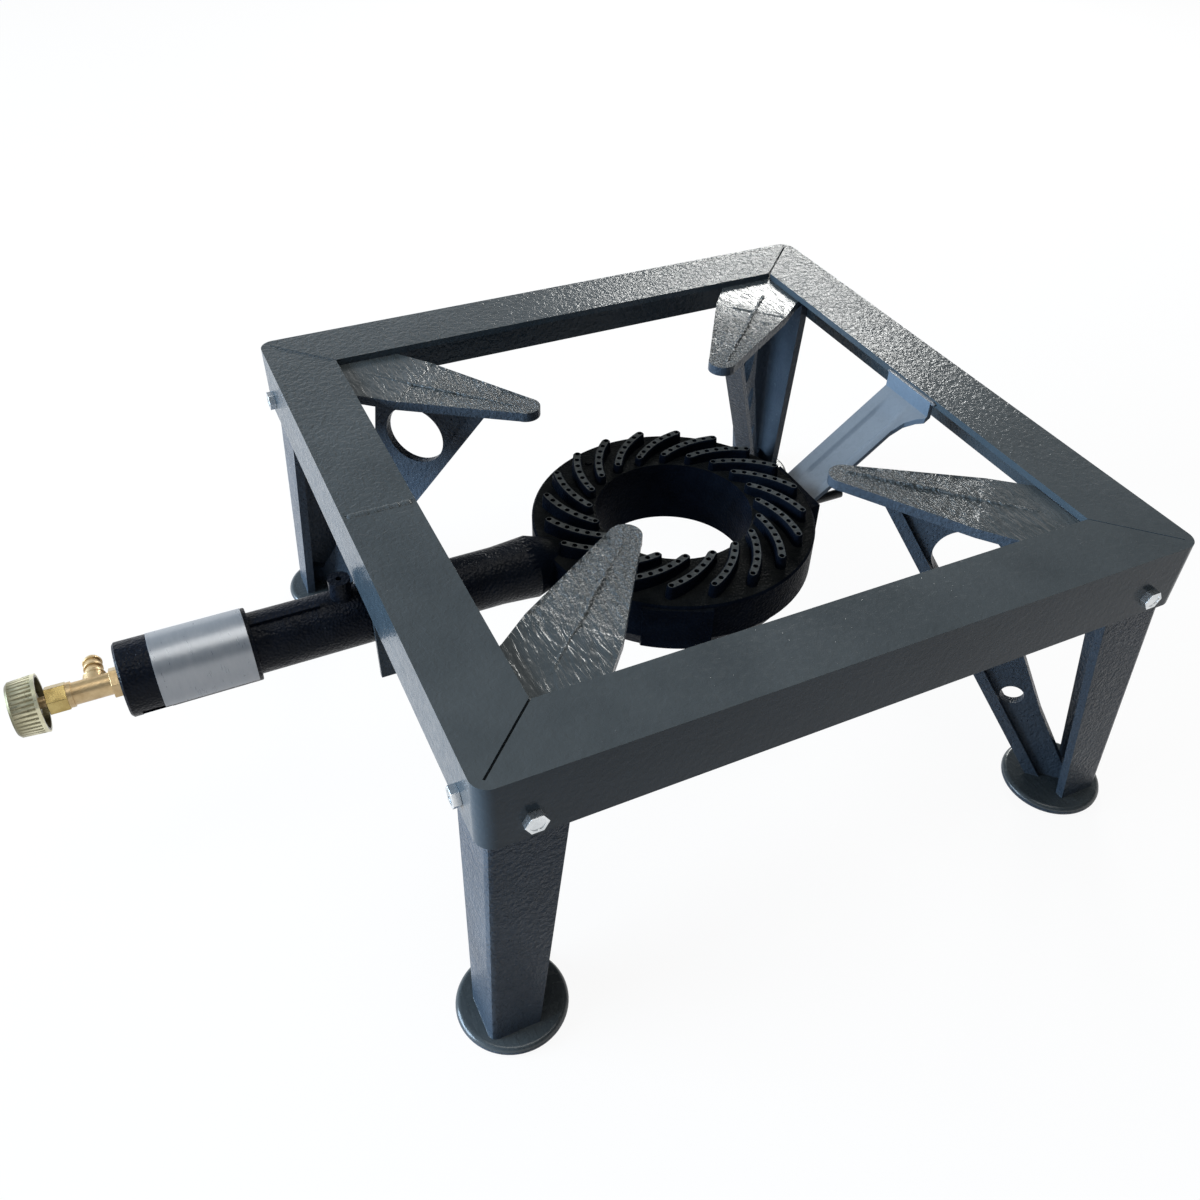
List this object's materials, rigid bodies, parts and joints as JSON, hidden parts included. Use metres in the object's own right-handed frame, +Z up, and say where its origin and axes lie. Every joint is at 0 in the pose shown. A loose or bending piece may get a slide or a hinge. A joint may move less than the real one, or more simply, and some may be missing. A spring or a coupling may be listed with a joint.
{
  "type": "gas burner stove",
  "caption": "Low gas boiling stove: cast ring burner with curved port ribs in a square angle-iron frame on splayed cast legs, with gas tube, hose barb and control knob.",
  "frame": {"origin": "on the floor, centred on the length from knob to right feet and on the width across the feet", "axes": "+X from the control knob towards the strap side, +Y to the back, +Z up"},
  "size_m": [0.5945, 0.43, 0.2],
  "materials": {
    "frame_paint": "gloss hammered anthracite paint",
    "leg_paint": "gloss anthracite paint on rough casting",
    "black_casting": "satin black",
    "black_steel": "blackened",
    "zinc": "bright zinc",
    "brass": "light satin brass",
    "nickel": "dull nickel",
    "label_silver": "satin silver, bare",
    "packing": "matt"
  },
  "bodies": {
    "stand": {"top_frame": "frame_paint", "frame_weld": "frame_paint", "leg_front_left": "leg_paint", "leg_front_right": "leg_paint", "leg_back_right": "leg_paint", "leg_back_left": "leg_paint", "leg_bolts": "zinc", "leg_nuts": "zinc", "burner_body": "black_casting", "burner_base": "black_casting", "base_screws": "zinc", "rear_strap": "frame_paint", "strap_bolt": "black_steel", "strap_nut": "black_steel", "tube_bracket": "frame_paint", "bracket_bolt": "zinc", "bracket_nut": "zinc", "label_plate": "label_silver", "injector": "brass", "injector_seal": "brass", "jam_nut": "brass", "valve_body": "brass", "hose_barb": "brass", "packing_nut": "brass", "spindle_packing": "packing"},
    "spindle": {"valve_spindle": "brass"},
    "knob": {"control_knob": "nickel", "knob_screw": "zinc"}
  },
  "joints": [
    {"name": "spindle_travel", "type": "slide", "parent": "stand", "child": "spindle", "axis": [-1, 0, 0], "range_m": [0, 0.0015]},
    {"name": "knob_turn", "type": "hinge", "parent": "spindle", "child": "knob", "pos_m": [-0.29725, 0, 0.131], "axis": [-1, 0, 0], "range_deg": [0, 540]}
  ],
  "couplings": [
    {"joint": "knob_turn", "follows": "spindle_travel", "rad_per_m": 6283.2}
  ]
}
